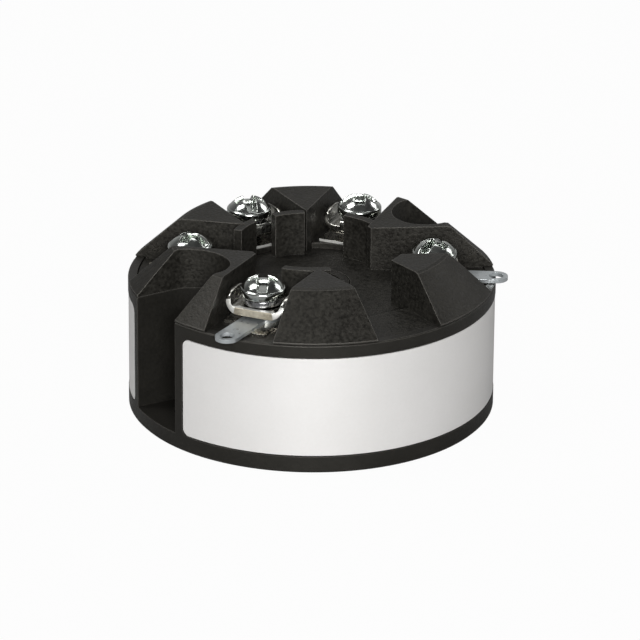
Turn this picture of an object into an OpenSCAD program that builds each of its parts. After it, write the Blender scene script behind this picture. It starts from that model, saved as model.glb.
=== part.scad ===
// Head-mounted temperature transmitter: a round moulded housing with five open screw
// terminals around a central cable opening, and two open notches for its mounting screws.
// The origin is the centre of the underside, +Z points up through the cable opening, and
// the two mounting notches lie on the X axis. All lengths are in millimetres.

/* [Housing cup] */
// Diameter of the round housing
body_d = 44; // [43.6:0.1:44.6]
// Thickness of the base flange that carries the mounting holes
flange_h = 2; // [1.8:0.1:2.6]
// Height of the cup's rim, where the two mouldings meet
rim_z = 16.1; // [16:0.05:16.15]
// Thickness of the cup's outer wall
cup_wall = 1.1; // [0.9:0.05:1.2]
// Thickness of the cup's floor
cup_floor = 1.6; // [1.2:0.1:2]
// Thickness of the walls around the notches and the central tube
inner_wall = 1; // [0.8:0.05:1.1]
// Clearance between the terminal block and the cup
shell_gap = 0.1; // [0.05:0.01:0.15]
// Size of the small chamfers on the housing's edges
edge_chamfer = 0.25; // [0.1:0.05:0.3]

/* [Mounting] */
// Distance between the two mounting screws
mount_pitch = 33; // [32.8:0.1:33.2]
// Diameter of the mounting holes in the flange
mount_hole_d = 4.5; // [4:0.1:5]
// Width of the two open notches above the mounting holes
notch_w = 8.8; // [8.4:0.1:9]
// Diameter of the cable bore in the centre
bore_d = 7; // [6:0.1:7.4]

/* [Terminal block] */
// Height of the tower tops at their outer crest
crest_z = 21.1; // [20.9:0.1:22]
// Radius of the crest, where the sloping flanks meet the tower tops
crest_r = 16.8; // [16.4:0.1:17.2]
// Drop of the tower tops from the crest to the central opening
top_drop = 0.5; // [0.2:0.1:0.8]
// Radius at which the blocks between the notches and the central opening are cut off
opening_r = 8.1; // [7.9:0.1:8.4]
// Inner radius of the ring wall around the central opening
ring_r = 8.9; // [8.6:0.1:9.1]
// Thickness of the ring wall
ring_wall = 1; // [0.8:0.05:1.1]
// Height of the floor of the terminal pockets
pocket_floor_z = 15.9; // [15.85:0.05:15.95]
// Height of the floor of the central opening
centre_floor_z = 15.2; // [15:0.05:15.25]
// Radius at which the central floor steps up to the pocket floors
centre_floor_r = 10.9; // [10.7:0.05:11]
// Height of the underside of the terminal block
block_floor_z = 12.6; // [12:0.1:13.2]
// Angle between neighbouring terminal pockets, in degrees
pocket_spacing = 55; // [54.5:0.1:55.5]
// Width of a terminal pocket
pocket_w = 8.66; // [8.5:0.02:8.7]
// Radius from which the floor of the empty pocket drops to the central floor
empty_step_r = 14.2; // [13.5:0.1:15]
// Radius at which the tower between the empty pocket and its right neighbour ends
short_tower_r = 11.6; // [11.4:0.1:12]

/* [Terminals] */
// Distance of the terminal screws from the centre
screw_r = 14.6; // [14.5:0.05:14.7]
// Thickness of the terminal plates
plate_t = 0.9; // [0.8:0.05:1]
// Height of the upper face of the terminal plates
plate_top_z = 16.2; // [16.18:0.01:16.25]
// Distance from a screw to the inner end of its terminal plate
plate_reach = 3.6; // [3.4:0.05:3.7]
// Radius of the outer end of the terminal plates
plate_out_r = 19.7; // [19:0.1:20]
// Radius at which the plates step down to their narrow outer tongue
plate_step_r = 17.3; // [16.8:0.1:17.6]
// Width of the terminal plates
plate_w = 7.5; // [7:0.1:7.6]
// Width of the plates' outer tongue
tongue_w = 4.9; // [4:0.1:5.4]
// Width of the solder leg bent down from each terminal plate
leg_w = 1.6; // [1.2:0.1:2]
// Clearance around the terminal plates in their recesses
plate_gap = 0.06; // [0.03:0.01:0.1]

/* [Clamps and screws] */
// Thickness of the sheet the clamp plates are bent from
clamp_t = 0.9; // [0.8:0.05:0.95]
// Overall width of a clamp plate across its two ears
clamp_w = 7.9; // [7.7:0.05:7.95]
// Length of the flat part of a clamp plate, along its pocket
clamp_l = 5.6; // [5.2:0.1:5.8]
// Height of a clamp plate's ears above its upper face
ear_h = 1.6; // [1.4:0.1:2]
// Radius of the rounded outline of the ears
ear_round_r = 2.9; // [2.85:0.05:3.2]
// Thickness of the ears
ear_t = 0.6; // [0.5:0.05:0.7]
// Inner radius of the bend between plate and ears
bend_r = 1; // [0.8:0.05:1.05]
// Width of the upturned lip at a clamp plate's inner end
lip_w = 2.6; // [2:0.1:3]
// Height of the upturned lip above the clamp plate
lip_h = 0.9; // [0.6:0.1:1.2]
// Gap between a clamp plate and what it rests on, and below the screw head
seat_gap = 0.05; // [0.02:0.01:0.08]
// Height at which each clamp stands open above its place on a lug, terminal by terminal
clamp_lifts = [0.4, 0.05, 0, 0.35, 0.3];
// Thickness of the split lock washers
washer_t = 1; // [0.8:0.05:1]
// Outer diameter of the lock washers
washer_d = 4.6; // [4.4:0.1:4.7]
// Width of the split in the lock washers
washer_split = 0.6; // [0.4:0.05:0.8]
// Diameter of the terminal screws' shanks
shank_d = 3; // [2.9:0.02:3]
// Length of the terminal screws below their heads
shank_l = 8.2; // [7.8:0.1:8.3]
// Diameter of the screw heads
head_d = 5.4; // [5.2:0.1:5.6]
// Height of the screw heads
head_h = 2.3; // [2.1:0.05:2.4]
// Share of the head's height that its straight rim takes
head_rim_share = 0.4; // [0.35:0.01:0.45]
// Radius of the head's domed top, as a share of its diameter
head_dome_share = 0.56; // [0.54:0.01:0.6]
// Width of the slot in the screw heads
slot_w = 1.1; // [0.9:0.05:1.2]
// Depth of the slot in the screw heads
slot_depth = 1.2; // [1:0.05:1.3]
// Length of the arms of the cross recess, tip to tip
cross_l = 3.4; // [3:0.1:3.8]
// Depth of the cross recess
cross_depth = 1.6; // [1.5:0.05:1.8]
// Radial running clearance of a shank in its clamp and plate
shank_gap = 0.08; // [0.05:0.01:0.09]

/* [Test lugs] */
// Thickness of the flat test lugs
lug_t = 0.45; // [0.4:0.01:0.48]
// Width of the test lugs
lug_w = 2.8; // [2.6:0.1:3.2]
// Distance of a lug's rounded tip from the centre of the housing
lug_tip_r = 23.8; // [23.5:0.1:24.2]
// Diameter of the test hole in a lug
lug_hole_d = 1.7; // [1.4:0.1:1.8]

/* [Labels] */
// Height of the lower edge of the label band
label_z0 = 2.2; // [2.1:0.1:2.6]
// Height of the upper edge of the label band
label_z1 = 14.4; // [13.8:0.1:14.6]
// Distance from a notch's edge to the end of a label
label_end_gap = 1.3; // [1.1:0.1:1.6]
// Thickness of the labels
label_t = 0.2; // [0.15:0.01:0.22]
// Depth of the recess that the labels lie in
label_recess = 0.25; // [0.23:0.01:0.28]
// Radius of the labels' rounded corners
label_corner_r = 1; // [0.8:0.1:1.2]
// Clearance around the labels in their recess
label_gap = 0.1; // [0.06:0.01:0.15]

/* [Electronics] */
// Height of the underside of the circuit board
board_z = 4.2; // [4.1:0.05:4.3]
// Thickness of the circuit board
board_t = 1.6; // [1.5:0.05:1.65]
// Clearance of the board from the cup's walls
board_gap = 0.3; // [0.2:0.05:0.4]
// Length, width and height of the isolation transformer
transformer_size = [8, 6.5, 3];
// Distance of the transformer from the centre, as a share of the cup's inner radius
transformer_share = 0.61; // [0.58:0.01:0.64]
// Length, width and height of the microcontroller
controller_size = [7, 7, 1.2];
// Distance of the microcontroller from the centre, as a share of the cup's inner radius
controller_share = 0.61; // [0.58:0.01:0.63]
// Length, width and height of the converter chip
converter_size = [6, 5, 1.6];
// Distance of the converter chip from the centre, as a share of the cup's inner radius
converter_share = 0.82; // [0.81:0.005:0.83]
// Length, width and height of the output transistor
transistor_size = [6.4, 5.6, 2.2];
// Distance of the output transistor from the centre, as a share of the cup's inner radius
transistor_share = 0.76; // [0.75:0.01:0.8]
// Length, width and height of a storage capacitor
capacitor_size = [3.4, 2.8, 2];
// Distance of the capacitors from the centre, as a share of the cup's inner radius
capacitor_share = 0.78; // [0.76:0.01:0.84]
// Length, width and height of the quartz crystal
crystal_size = [4.8, 3.2, 1.2];
// Distance of the quartz crystal from the centre, as a share of the cup's inner radius
crystal_share = 0.83; // [0.8:0.01:0.86]
// Length, width and height of a chip resistor
resistor_size = [2, 1.2, 0.5];
// Distance of the resistors from the centre, as a share of the cup's inner radius
resistor_share = 0.87; // [0.86:0.01:0.9]

/* [Hidden] */

$fn = 96;
// Overrun of every cut past the face that it opens
cut = 1;
body_r = body_d / 2;
notch_r = notch_w / 2;
mount_r = mount_pitch / 2;
half_pocket = pocket_w / 2;
core_r = body_r - cup_wall;
tube_r = bore_d / 2 + inner_wall;
notch_wall_r = notch_r + inner_wall;
well_gap = 0.5;
well_r = shank_d / 2 + well_gap;
boss_wall = 0.6;
boss_r = well_r + boss_wall;
boss_end_z = 9.2;
// Distance of a label's corner cylinders from its edges, as a share of their radius
corner_inset_share = 0.98;

// Directions of the two notches, of the five terminals and of the empty pocket
notch_angles = [0, 180];
terminal_angles = [270 - pocket_spacing, 270 + pocket_spacing, 90 + pocket_spacing,
                   90, 90 - pocket_spacing];
empty_angle = 270;
// Side of each terminal plate, seen along its pocket, that carries the solder leg
leg_sides = [1, -1, -1, 1, 1];
// Direction of each screw head's slot
slot_angles = [236, 18, 300, 250, 330];
// Directions from the centre of the components on the board
transformer_angle = 77;
controller_angle = 270;
converter_angle = 298;
transistor_angle = 32;
capacitor_angles = [120, 136];
crystal_angle = 222;
resistor_angles = [236, 244, 252, 260];
// Spans of the ring wall: angle of each span's start and end
ring_spans = [[64, 88], [107, 130], [217, 251], [0, 33]];

plate_in_r = screw_r - plate_reach;
recess_z = plate_top_z - plate_t;
clamp_z = plate_top_z + lug_t + seat_gap;
washer_z = clamp_z + clamp_t;
head_z = washer_z + washer_t + seat_gap;
shank_hole_r = shank_d / 2 + shank_gap;
board_top_z = board_z + board_t;

// Places a child in a pocket's frame: +X outwards along the pocket
module at_pocket(angle) {
    rotate([0, 0, angle]) children();
}

// The same for what a terminal screw carries, at the height where it stands open
module at_clamp(i) {
    translate([0, 0, clamp_lifts[i]]) at_pocket(terminal_angles[i]) children();
}

// Box that is centred in Y, from x0 to x1 and from z0 to z1
module bar(x0, x1, width, z0, z1) {
    translate([x0, -width / 2, z0]) cube([x1 - x0, width, z1 - z0]);
}

// Triangle that covers a disc between two directions, less than half a turn apart
module fan(r, a0, a1) {
    reach = r / cos((a1 - a0) / 2);
    polygon([[0, 0], [reach * cos(a0), reach * sin(a0)], [reach * cos(a1), reach * sin(a1)]]);
}

// The same as a solid
module sector(r, a0, a1, z0, z1) {
    translate([0, 0, z0]) linear_extrude(z1 - z0) fan(r, a0, a1);
}

// Tube about Z
module tube(r_in, r_out, z0, z1) {
    translate([0, 0, z0]) linear_extrude(z1 - z0) difference() {
        circle(r_out);
        circle(r_in);
    }
}

// U-shaped outline of the two open notches, with a wall of the given thickness around them
module notch_plan(wall) {
    for (a = notch_angles) rotate(a) {
        translate([mount_r, 0]) circle(notch_r + wall);
        translate([mount_r, -notch_r - wall]) square([body_r, notch_w + 2 * wall]);
    }
}

// Room inside the cup, drawn in by a gap from all of its walls
module cup_room(gap) {
    difference() {
        circle(core_r - gap);
        circle(tube_r + gap);
        notch_plan(inner_wall + gap);
    }
}

// Outline of a label or its recess as a solid that reaches through the cup's wall. The
// corner cylinders stand out a little and are cut off, so that no faces are tangent.
module label_outline(angle, grow) {
    degree = 360 / (PI * body_d);
    corner = label_corner_r + grow;
    inset = corner * corner_inset_share;
    edge = asin(notch_r / body_r) + (label_end_gap - grow) * degree;
    wide = 90 - edge;
    tall = wide - inset * degree;
    reach = body_r + cut;
    low = label_z0 - grow;
    high = label_z1 + grow;
    rotate([0, 0, angle]) intersection() {
        for (half = [-1, 1])
            sector(reach, min(0, half * wide), max(0, half * wide), low, high);
        for (half = [-1, 1]) {
            sector(reach, min(0, half * wide), max(0, half * wide), low + inset, high - inset);
            sector(reach, min(0, half * tall), max(0, half * tall), low - cut, high + cut);
            for (z = [low + inset, high - inset])
                rotate([0, 90, half * tall]) translate([-z, 0, 0])
                    cylinder(r = corner, h = reach);
        }
    }
}

module housing_cup() {
    color("#2b2b2b") difference() {
        union() {
            rotate_extrude() polygon([[0, 0], [body_r - edge_chamfer, 0],
                [body_r, edge_chamfer], [body_r, rim_z - edge_chamfer / 2],
                [body_r - edge_chamfer / 2, rim_z], [core_r, rim_z], [core_r, cup_floor],
                [0, cup_floor]]);
            translate([0, 0, cup_floor]) linear_extrude(rim_z - cup_floor) intersection() {
                notch_plan(inner_wall);
                circle(core_r);
            }
            cylinder(r = tube_r, h = centre_floor_z);
            intersection() {
                cylinder(r = body_r - edge_chamfer, h = flange_h);
                linear_extrude(flange_h) notch_plan(inner_wall);
            }
        }
        translate([0, 0, flange_h]) linear_extrude(rim_z) notch_plan(0);
        translate([0, 0, -cut]) cylinder(d = bore_d, h = rim_z + cut);
        for (a = notch_angles) rotate([0, 0, a]) translate([mount_r, 0, -cut])
            cylinder(d = mount_hole_d, h = flange_h + 2 * cut);
        for (a = [90, 270]) intersection() {
            label_outline(a, label_gap);
            tube(body_r - label_recess, body_r + cut / 2, 0, rim_z);
        }
    }
}

// Revolved body of the terminal block above the cup's rim
module crown() {
    inner_z = crest_z - top_drop;
    rotate_extrude() polygon([[opening_r, rim_z], [body_r - edge_chamfer / 2, rim_z],
        [body_r, rim_z + edge_chamfer / 2], [body_r, rim_z + edge_chamfer],
        [crest_r + edge_chamfer, crest_z - edge_chamfer / 2],
        [crest_r - edge_chamfer, crest_z], [opening_r, inner_z]]);
}

// Ring wall around the central opening, in spans
module ring_walls() {
    for (s = ring_spans) intersection() {
        rotate_extrude() polygon([[ring_r, block_floor_z], [ring_r + ring_wall, block_floor_z],
            [ring_r + ring_wall, crest_z - top_drop], [ring_r, crest_z - top_drop]]);
        sector(body_r, s[0], s[1], block_floor_z, crest_z);
    }
}

// Floor of the central opening, with the inner ends of the pockets
module centre_plan() {
    circle(opening_r);
    for (a = terminal_angles) rotate(a) intersection() {
        translate([0, -half_pocket]) square([centre_floor_r, pocket_w]);
        circle(centre_floor_r);
    }
    rotate(empty_angle) translate([0, -half_pocket]) square([empty_step_r, pocket_w]);
    intersection() {
        fan(body_r, empty_angle, terminal_angles[1]);
        circle(short_tower_r);
    }
}

// The six pockets, from the centre out through the housing's side
module pocket_plan() {
    for (a = concat(terminal_angles, [empty_angle])) rotate(a)
        translate([0, -half_pocket]) square([body_r + cut, pocket_w]);
}

module terminal_plate_plan(grow) {
    translate([plate_in_r - grow, -plate_w / 2 - grow])
        square([plate_step_r - plate_in_r + 2 * grow, plate_w + 2 * grow]);
    translate([plate_in_r, -tongue_w / 2 - grow])
        square([plate_out_r - plate_in_r + grow, tongue_w + 2 * grow]);
}

// Solder leg of one terminal plate, from a low end up to the plate
module plate_leg(side, low_z, grow) {
    mid = side * (plate_w - plate_t) / 2;
    translate([plate_in_r + leg_w / 2 - grow, mid - plate_t / 2 - grow, low_z])
        cube([leg_w + 2 * grow, plate_t + 2 * grow, recess_z - low_z + plate_t / 2]);
}

module terminal_block() {
    color("#303030") difference() {
        union() {
            difference() {
                union() {
                    translate([0, 0, block_floor_z])
                        linear_extrude(rim_z - block_floor_z) cup_room(shell_gap);
                    difference() {
                        crown();
                        translate([0, 0, rim_z - cut])
                            linear_extrude(crest_z) notch_plan(0);
                    }
                }
                translate([0, 0, centre_floor_z]) linear_extrude(crest_z) centre_plan();
                translate([0, 0, pocket_floor_z]) linear_extrude(crest_z) pocket_plan();
            }
            ring_walls();
            for (a = terminal_angles) at_pocket(a) translate([screw_r, 0, boss_end_z])
                cylinder(r = boss_r, h = recess_z - boss_end_z);
        }
        for (i = [0:4]) at_pocket(terminal_angles[i]) {
            translate([0, 0, recess_z]) linear_extrude(crest_z) terminal_plate_plan(plate_gap);
            translate([screw_r, 0, boss_end_z + boss_wall]) cylinder(r = well_r, h = crest_z);
            plate_leg(leg_sides[i], block_floor_z - cut, plate_gap);
        }
    }
}

module label(angle) {
    intersection() {
        label_outline(angle, 0);
        tube(body_r - label_recess, body_r - label_recess + label_t, 0, rim_z);
    }
}

module front_label() {
    color("gainsboro") label(270);
}

module rear_label() {
    color("gainsboro") label(90);
}

module potting_layer() {
    color("#3a3f45") translate([0, 0, cup_floor])
        linear_extrude(board_z - cup_floor) cup_room(0);
}

module circuit_board() {
    color("#1f6b3a") difference() {
        translate([0, 0, board_z]) linear_extrude(board_t) cup_room(board_gap);
        for (i = [0:4]) at_pocket(terminal_angles[i])
            plate_leg(leg_sides[i], board_z - cut, plate_gap);
    }
}

// A moulded component that stands on the board, its length along or across its radius
module component(size, share, angle, turn) {
    rotate([0, 0, angle]) translate([core_r * share, 0, board_top_z]) rotate([0, 0, turn])
        translate([-size[0] / 2, -size[1] / 2, 0]) cube(size);
}

module isolation_transformer() {
    color("#4a4038") component(transformer_size, transformer_share, transformer_angle, 90);
}

module microcontroller() {
    color("#1c1c1e") component(controller_size, controller_share, controller_angle, 0);
}

module converter_chip() {
    color("#1c1c1e") component(converter_size, converter_share, converter_angle, 0);
}

module output_transistor() {
    color("#1c1c1e") component(transistor_size, transistor_share, transistor_angle, 0);
}

module storage_capacitors() {
    color("#b08a3c") for (a = capacitor_angles)
        component(capacitor_size, capacitor_share, a, 0);
}

module quartz_crystal() {
    color("silver") component(crystal_size, crystal_share, crystal_angle, 90);
}

module chip_resistors() {
    color("#26282c") for (a = resistor_angles)
        component(resistor_size, resistor_share, a, 90);
}

module terminal_plate(i) {
    color("#c9c6bb") at_pocket(terminal_angles[i]) difference() {
        union() {
            translate([0, 0, recess_z]) linear_extrude(plate_t) terminal_plate_plan(0);
            difference() {
                plate_leg(leg_sides[i], board_z, 0);
                bar(0, body_r, body_d, recess_z + plate_t / 2, crest_z);
            }
        }
        translate([screw_r, 0, 0]) cylinder(r = shank_hole_r, h = clamp_z);
    }
}

// Profile of a clamp's ear across the pocket, from the flat plate up to the ear's top
module ear_profile() {
    outer = clamp_w / 2;
    bend_x = outer - ear_t - bend_r;
    top = clamp_z + clamp_t + ear_h;
    bend_z = clamp_z + clamp_t + bend_r;
    translate([outer - ear_t, bend_z]) square([ear_t, top - bend_z]);
    difference() {
        translate([bend_x, clamp_z]) square([outer - bend_x, bend_z - clamp_z]);
        translate([bend_x, bend_z]) circle(bend_r);
        difference() {
            translate([outer - ear_t - bend_r, clamp_z])
                square([ear_t + bend_r + cut, ear_t + bend_r]);
            translate([bend_x, clamp_z + ear_t + bend_r]) circle(ear_t + bend_r);
        }
    }
}

module clamp_plate(i) {
    flat_w = clamp_w - 2 * (ear_t + bend_r);
    color("#d2d0c6") at_clamp(i) difference() {
        union() {
            bar(screw_r - clamp_l / 2, screw_r + clamp_l / 2, flat_w, clamp_z,
                clamp_z + clamp_t);
            intersection() {
                for (side = [0, 1]) mirror([0, side, 0])
                    translate([screw_r - ear_round_r, 0, 0]) rotate([90, 0, 90])
                        linear_extrude(2 * ear_round_r) ear_profile();
                translate([screw_r, body_r, clamp_z]) rotate([90, 0, 0])
                    cylinder(r = ear_round_r, h = body_d);
            }
            bar(screw_r - clamp_l / 2 - ear_t, screw_r - clamp_l / 2, lip_w, clamp_z,
                washer_z + lip_h);
        }
        translate([screw_r, 0, 0]) cylinder(r = shank_hole_r, h = head_z);
    }
}

module lock_washer(i) {
    color("#8f9094") at_clamp(i) translate([screw_r, 0, 0]) difference() {
        tube(shank_hole_r, washer_d / 2, washer_z, washer_z + washer_t);
        rotate([0, 0, slot_angles[i]])
            bar(0, washer_d, washer_split, washer_z - cut, head_z + cut);
    }
}

// Half outline of a pan head: a straight rim and a domed top
module head_profile() {
    rim_h = head_h * head_rim_share;
    dome_r = head_d * head_dome_share;
    intersection() {
        square([head_d / 2, head_h]);
        union() {
            square([head_d / 2, rim_h]);
            translate([0, head_h - dome_r]) circle(dome_r);
        }
    }
}

module terminal_screw(i) {
    top = head_z + head_h;
    color("#dcdcd8") at_clamp(i) translate([screw_r, 0, 0]) difference() {
        union() {
            translate([0, 0, head_z]) rotate_extrude() head_profile();
            translate([0, 0, head_z - shank_l]) cylinder(d = shank_d, h = shank_l);
        }
        rotate([0, 0, slot_angles[i] - terminal_angles[i]]) {
            bar(-head_d, head_d, slot_w, top - slot_depth, top + cut);
            for (turn = [0, 90]) rotate([0, 0, turn])
                bar(-cross_l / 2, cross_l / 2, slot_w, top - cross_depth, top + cut);
        }
    }
}

module test_lug(i) {
    color("#e4e4e0") at_pocket(terminal_angles[i]) translate([0, 0, plate_top_z])
        linear_extrude(lug_t) difference() {
            union() {
                translate([lug_tip_r - lug_w / 2, 0]) circle(d = lug_w);
                translate([screw_r, -lug_w / 2])
                    square([lug_tip_r - lug_w / 2 - screw_r, lug_w]);
                translate([screw_r, 0]) circle(d = washer_d);
            }
            translate([lug_tip_r - lug_w / 2, 0]) circle(d = lug_hole_d);
            translate([screw_r, 0]) circle(shank_hole_r);
        }
}

housing_cup();
terminal_block();
front_label();
rear_label();
potting_layer();
circuit_board();
isolation_transformer();
microcontroller();
converter_chip();
output_transistor();
storage_capacitors();
quartz_crystal();
chip_resistors();
for (i = [0:4]) {
    terminal_plate(i);
    clamp_plate(i);
    lock_washer(i);
    terminal_screw(i);
}
for (i = [0:1]) {
    test_lug(i);
}
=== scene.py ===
# %% [markdown]
# # A head-mounted temperature transmitter
#
# A round housing of black moulded plastic carries five screw terminals around a central
# opening. The exact solids were made before this lesson, each in its right place. Here they
# get the finishes of the real parts, and a few pieces that a plain solid can't show well.
# Every length is in metres, and +Z points up through the cable opening.

# %% Load the exact solids
import math

import bpy
import numpy as np
from mathutils import Matrix, Vector


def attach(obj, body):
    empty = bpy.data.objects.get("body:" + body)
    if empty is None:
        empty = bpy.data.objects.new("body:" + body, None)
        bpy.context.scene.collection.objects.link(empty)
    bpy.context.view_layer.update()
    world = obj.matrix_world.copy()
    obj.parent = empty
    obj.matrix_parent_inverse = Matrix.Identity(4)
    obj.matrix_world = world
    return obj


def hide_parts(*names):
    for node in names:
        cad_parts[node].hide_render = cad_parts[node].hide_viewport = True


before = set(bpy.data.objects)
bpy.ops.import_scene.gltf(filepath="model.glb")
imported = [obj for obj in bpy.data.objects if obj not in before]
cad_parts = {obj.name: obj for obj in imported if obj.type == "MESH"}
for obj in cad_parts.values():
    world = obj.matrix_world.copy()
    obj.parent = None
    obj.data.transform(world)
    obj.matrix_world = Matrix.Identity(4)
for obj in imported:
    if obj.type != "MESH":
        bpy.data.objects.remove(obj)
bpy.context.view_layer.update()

MM = 0.001

# %% [markdown]
# ## The camera
#
# The photograph looks down on the part by about 23 degrees, past one of its two notches. A
# camera could be moved by hand until the picture fits. Here it is placed by a middle point,
# two angles and a distance, so that each can be fitted by itself. A long lens from more than
# half a metre away gives nearly parallel lines. The camera is rolled by less than half a
# degree and aimed a little up and to the right, because the part stands so in the picture.

# %% Place the camera
CAMERA_TURN = math.radians(31.918)
CAMERA_RISE = math.radians(22.75)
CAMERA_REACH = 558.2 * MM
CAMERA_ROLL = 0.00758
MIDDLE_HEIGHT, AIM_RIGHT, AIM_UP = 8, 1.024, 2.06
FILM_WIDTH, FOCAL_LENGTH = 36, 261.0

into = Vector((math.sin(CAMERA_TURN) * math.cos(CAMERA_RISE),
               math.cos(CAMERA_TURN) * math.cos(CAMERA_RISE), -math.sin(CAMERA_RISE)))
level = Vector((math.cos(CAMERA_TURN), -math.sin(CAMERA_TURN), 0))
raised = level.cross(into)
right = level * math.cos(CAMERA_ROLL) + raised * math.sin(CAMERA_ROLL)
up = raised * math.cos(CAMERA_ROLL) - level * math.sin(CAMERA_ROLL)
middle = Vector((0, 0, MIDDLE_HEIGHT * MM))
eye = middle - into * CAMERA_REACH
aim = (middle + right * AIM_RIGHT * MM + up * AIM_UP * MM - eye).normalized()
side = (right - aim * right.dot(aim)).normalized()
rise = side.cross(aim)

scene = bpy.context.scene
scene.view_settings.view_transform = "Standard"
lens = bpy.data.cameras.new("camera")
lens.sensor_width = FILM_WIDTH
lens.lens = FOCAL_LENGTH
camera = bpy.data.objects.new("camera", lens)
camera.matrix_world = Matrix.Translation(eye) @ Matrix((side, rise, -aim)).transposed().to_4x4()
scene.collection.objects.link(camera)
scene.camera = camera
print("camera at, in mm:", [round(v / MM, 1) for v in eye])

# %% [markdown]
# ## Nodes for floor, sky and finishes
#
# Everything below is shaded by small trees of nodes. They could be drawn in the shader
# editor. Written as functions they can be read from top to bottom and used many times: to
# join two sockets, add a node with its values, multiply, move a value from one range to
# another, and show the camera something else than all other rays.

# %% Define the helpers for nodes
def link(tree, source, target):
    """Joins a node's output socket to another node's input socket."""
    tree.links.new(source, target)


def add_node(tree, kind, **values):
    """Adds a node of that kind and sets its input sockets by name."""
    made = tree.nodes.new(kind)
    for name, value in values.items():
        made.inputs[name.replace("_", " ")].default_value = value
    return made


def product(tree, first, second):
    """The product of a node's output with another output, or with a plain number."""
    made = tree.nodes.new("ShaderNodeMath")
    made.operation = "MULTIPLY"
    link(tree, first, made.inputs[0])
    if isinstance(second, float):
        made.inputs[1].default_value = second
    else:
        link(tree, second, made.inputs[1])
    return made.outputs["Value"]


def map_range(tree, value, start, end, low, high):
    """Low up to start and high from end on, with a straight line between them."""
    made = add_node(tree, "ShaderNodeMapRange", From_Min=start, From_Max=end, To_Min=low,
                    To_Max=high)
    link(tree, value, made.inputs["Value"])
    return made.outputs["Result"]


def blend_for_camera(tree, plain, seen, share=1.0):
    """The plain shader for all rays, but for the camera's a mix with that share of the seen one."""
    path = tree.nodes.new("ShaderNodeLightPath")
    blend = tree.nodes.new("ShaderNodeMixShader")
    link(tree, product(tree, path.outputs["Is Camera Ray"], share), blend.inputs[0])
    link(tree, plain.outputs[0], blend.inputs[1])
    link(tree, seen.outputs[0], blend.inputs[2])
    return blend.outputs[0]


print("node helpers are ready")

# %% [markdown]
# ## The floor
#
# A product picture stands on a white sweep. A floor that is really white would throw so much
# light up at the black plastic that it would look grey. So the floor glows nearly white for
# the camera, and is a plain grey for all other rays. The small share of grey that the camera
# still sees carries the soft shadow of the part.

# %% Make the white floor
WHITE = (1, 1, 1, 1)
FLOOR_GREY, FLOOR_GLOW_SHARE = 0.32, 0.97
FLOOR_SIZE, FLOOR_DROP = 4.0, 0.00002


def white_floor():
    """A grey diffuse floor that the camera sees as almost white, apart from its soft shadow."""
    material = bpy.data.materials.new("white_floor")
    material.use_nodes = True
    tree = material.node_tree
    tree.nodes.clear()
    diffuse = add_node(tree, "ShaderNodeBsdfDiffuse", Color=(FLOOR_GREY, FLOOR_GREY, FLOOR_GREY, 1))
    glow = add_node(tree, "ShaderNodeEmission", Color=WHITE, Strength=1.0)
    output = tree.nodes.new("ShaderNodeOutputMaterial")
    link(tree, blend_for_camera(tree, diffuse, glow, FLOOR_GLOW_SHARE), output.inputs["Surface"])
    return material


floor_mesh = bpy.data.meshes.new("floor")
half = FLOOR_SIZE / 2
floor_mesh.from_pydata([(-half, -half, 0), (half, -half, 0), (half, half, 0), (-half, half, 0)],
                       [], [(0, 1, 2, 3)])
floor_mesh.materials.append(white_floor())
floor = bpy.data.objects.new("floor", floor_mesh)
floor.location.z = -FLOOR_DROP
scene.collection.objects.link(floor)
print("floor in metres:", FLOOR_SIZE)

# %% [markdown]
# ## The sky
#
# The sky, too, is white for the camera alone. The light that it gives gets weaker towards
# the zenith and towards the left and right of the picture, as if a photographer had set
# dark cards there. The metal then has something dark to mirror, and the ends of the labels
# turn darker, as in the photograph. A picture of a studio could do this as well, but two
# ranges of the direction say it in a few numbers.

# %% Shade the sky
SKY_LEVEL, SKY_TOP_SHARE, SKY_SIDE_SHARE = 0.46, 0.16, 0.15
SKY_TOP_RANGE, SKY_SIDE_RANGE = (0.3, 0.75), (0.2, 0.9)


def studio_sky():
    """A level that falls with the height of a direction and with its part along the picture."""
    sky = bpy.data.worlds.new("studio")
    sky.use_nodes = True
    tree = sky.node_tree
    tree.nodes.clear()
    direction = tree.nodes.new("ShaderNodeTexCoord").outputs["Generated"]
    parts = tree.nodes.new("ShaderNodeSeparateXYZ")
    link(tree, direction, parts.inputs[0])
    towards_top = map_range(tree, parts.outputs["Z"], *SKY_TOP_RANGE, 1, SKY_TOP_SHARE)
    along = tree.nodes.new("ShaderNodeVectorMath")
    along.operation = "DOT_PRODUCT"
    along.inputs[1].default_value = (level.x, level.y, 0)
    link(tree, direction, along.inputs[0])
    aside = tree.nodes.new("ShaderNodeMath")
    aside.operation = "ABSOLUTE"
    link(tree, along.outputs["Value"], aside.inputs[0])
    towards_side = map_range(tree, aside.outputs[0], *SKY_SIDE_RANGE, SKY_LEVEL,
                             SKY_SIDE_SHARE * SKY_LEVEL)
    plain = add_node(tree, "ShaderNodeBackground", Color=WHITE)
    link(tree, product(tree, towards_top, towards_side), plain.inputs["Strength"])
    seen = add_node(tree, "ShaderNodeBackground", Color=WHITE, Strength=1.0)
    output = tree.nodes.new("ShaderNodeOutputWorld")
    link(tree, blend_for_camera(tree, plain, seen), output.inputs["Surface"])
    return sky


scene.world = studio_sky()
print("sky:", scene.world.name)

# %% [markdown]
# ## The lamps
#
# Large lamps give soft edges to shadows and to the bright spots on the screws. The key lamp
# stands behind the camera and lights the label. One weak lamp hangs high behind the part,
# and one stands on each side: they draw the slopes and edges of the black towers. Points or
# suns would be simpler, but a mirror shows them as hard dots.

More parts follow.
